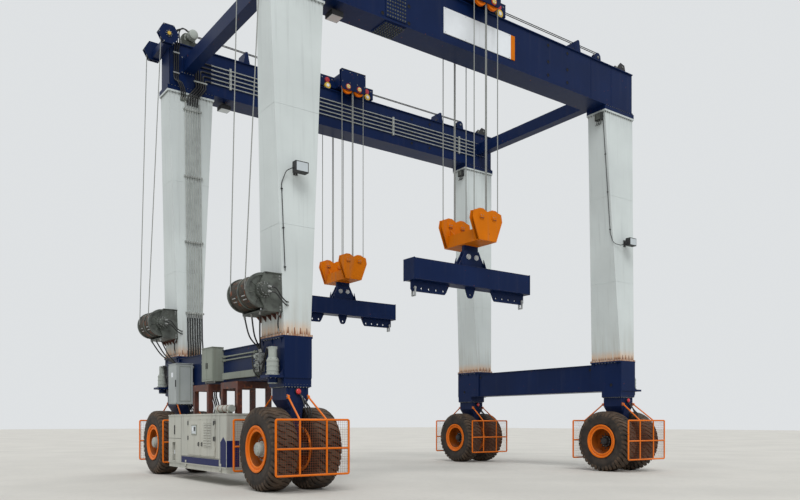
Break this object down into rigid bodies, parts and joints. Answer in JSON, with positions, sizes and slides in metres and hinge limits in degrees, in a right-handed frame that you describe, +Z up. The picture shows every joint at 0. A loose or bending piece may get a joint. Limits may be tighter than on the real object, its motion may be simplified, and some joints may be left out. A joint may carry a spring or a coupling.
{
  "type": "rubber tyred gantry crane",
  "caption": "Portal crane with box girders on tapered legs, steered twin wheels in guard cages, travelling trolleys, lifting beams and a generating set under one side.",
  "frame": {"origin": "bottom centre of the whole machine's box, on the ground", "axes": "+X along the girders away from the generating set's side, +Y the travel direction, +Z up"},
  "size_m": [12.8848, 8.606, 12.45],
  "materials": {
    "navy": "semi-gloss",
    "leg_white": "semi-gloss",
    "orange": "semi-gloss",
    "tyre": "matte",
    "winch_grey": "satin",
    "canopy_white": "satin",
    "primer_brown": "matte",
    "dark_steel": "satin",
    "bright_steel": "satin",
    "rope": "satin"
  },
  "bodies": {
    "portal": {"girder_near": "navy", "girder_far": "navy", "cross_beam_left": "navy", "cross_beam_right": "navy", "saddle_left": "navy", "saddle_right": "navy", "head_sheaves": "navy", "return_sheaves": "navy", "leg_nl": "leg_white", "leg_nr": "leg_white", "leg_fl": "leg_white", "leg_fr": "leg_white", "steering_drives_left": "leg_white", "steering_drives_right": "leg_white", "electric_cabinet": "leg_white", "winch_frames": "winch_grey", "traction_drives": "winch_grey", "valve_cabinet": "winch_grey", "genset_canopy": "canopy_white", "hangers": "primer_brown", "engine": "dark_steel", "genset_skid": "dark_steel", "floodlights": "dark_steel", "pipes": "bright_steel", "saddle_pipes": "bright_steel", "winch_ropes": "rope"},
    "bogie_nl": {"yoke_nl": "navy", "cage_nl": "orange"},
    "wheels_nl": {"tyres_nl": "tyre", "rims_nl": "orange"},
    "bogie_nr": {"yoke_nr": "navy", "cage_nr": "orange"},
    "wheels_nr": {"tyres_nr": "tyre", "rims_nr": "orange"},
    "bogie_fl": {"yoke_fl": "navy", "cage_fl": "orange"},
    "wheels_fl": {"tyres_fl": "tyre", "rims_fl": "orange"},
    "bogie_fr": {"yoke_fr": "navy", "cage_fr": "orange"},
    "wheels_fr": {"tyres_fr": "tyre", "rims_fr": "orange"},
    "drum_near": {"winch_drum_near": "winch_grey"},
    "trolley_body_near": {"trolley_near": "navy", "trolley_sheaves_near": "bright_steel"},
    "hook_near": {"lower_block_near": "orange", "lifting_beam_near": "navy", "beam_pins_near": "bright_steel", "falls_near": "rope"},
    "drum_far": {"winch_drum_far": "winch_grey"},
    "trolley_body_far": {"trolley_far": "navy", "trolley_sheaves_far": "bright_steel"},
    "hook_far": {"lower_block_far": "orange", "lifting_beam_far": "navy", "beam_pins_far": "bright_steel", "falls_far": "rope"},
    "door_near": {"canopy_door_near": "canopy_white"},
    "door_far": {"canopy_door_far": "canopy_white"},
    "cabinet_lid": {"cabinet_door": "leg_white"}
  },
  "joints": [
    {"name": "steer_nl", "type": "hinge", "parent": "portal", "child": "bogie_nl", "pos_m": [-5.33556, -3.28, 2.22], "axis": [0, 0, 1], "range_deg": [-90, 90]},
    {"name": "roll_nl", "type": "hinge", "parent": "bogie_nl", "child": "wheels_nl", "pos_m": [-5.33556, -3.28, 0.875], "axis": [1, 0, 0], "continuous": true},
    {"name": "steer_nr", "type": "hinge", "parent": "portal", "child": "bogie_nr", "pos_m": [5.58444, -3.28, 2.22], "axis": [0, 0, 1], "range_deg": [-90, 90]},
    {"name": "roll_nr", "type": "hinge", "parent": "bogie_nr", "child": "wheels_nr", "pos_m": [5.58444, -3.28, 0.875], "axis": [1, 0, 0], "continuous": true},
    {"name": "steer_fl", "type": "hinge", "parent": "portal", "child": "bogie_fl", "pos_m": [-5.33556, 3.28, 2.22], "axis": [0, 0, 1], "range_deg": [-90, 90]},
    {"name": "roll_fl", "type": "hinge", "parent": "bogie_fl", "child": "wheels_fl", "pos_m": [-5.33556, 3.28, 0.875], "axis": [1, 0, 0], "continuous": true},
    {"name": "steer_fr", "type": "hinge", "parent": "portal", "child": "bogie_fr", "pos_m": [5.58444, 3.28, 2.22], "axis": [0, 0, 1], "range_deg": [-90, 90]},
    {"name": "roll_fr", "type": "hinge", "parent": "bogie_fr", "child": "wheels_fr", "pos_m": [5.58444, 3.28, 0.875], "axis": [1, 0, 0], "continuous": true},
    {"name": "drum_spin_near", "type": "hinge", "parent": "portal", "child": "drum_near", "pos_m": [-6.08244, -3.08, 4.12], "axis": [0, 1, 0], "continuous": true},
    {"name": "trolley_travel_near", "type": "slide", "parent": "portal", "child": "trolley_body_near", "axis": [1, 0, 0], "range_m": [-2.18, 2.62]},
    {"name": "hoist_near", "type": "slide", "parent": "trolley_body_near", "child": "hook_near", "axis": [0, 0, 1], "range_m": [-4.1, 3.5], "deforming": ["falls_near"]},
    {"name": "drum_spin_far", "type": "hinge", "parent": "portal", "child": "drum_far", "pos_m": [-6.08244, 3.08, 4.12], "axis": [0, 1, 0], "continuous": true},
    {"name": "trolley_travel_far", "type": "slide", "parent": "portal", "child": "trolley_body_far", "axis": [1, 0, 0], "range_m": [-2.18, 2.62]},
    {"name": "hoist_far", "type": "slide", "parent": "trolley_body_far", "child": "hook_far", "axis": [0, 0, 1], "range_m": [-4.1, 3.5], "deforming": ["falls_far"]},
    {"name": "door_near_hinge", "type": "hinge", "parent": "portal", "child": "door_near", "pos_m": [-6.17387, -1.24, 1], "axis": [0, 0, 1], "range_deg": [0, 110]},
    {"name": "door_far_hinge", "type": "hinge", "parent": "portal", "child": "door_far", "pos_m": [-6.17387, 0.44, 1], "axis": [0, 0, -1], "range_deg": [0, 110]},
    {"name": "cabinet_door_hinge", "type": "hinge", "parent": "portal", "child": "cabinet_lid", "pos_m": [-6.08687, 2.07, 2.4], "axis": [0, 0, -1], "range_deg": [0, 110]}
  ]
}
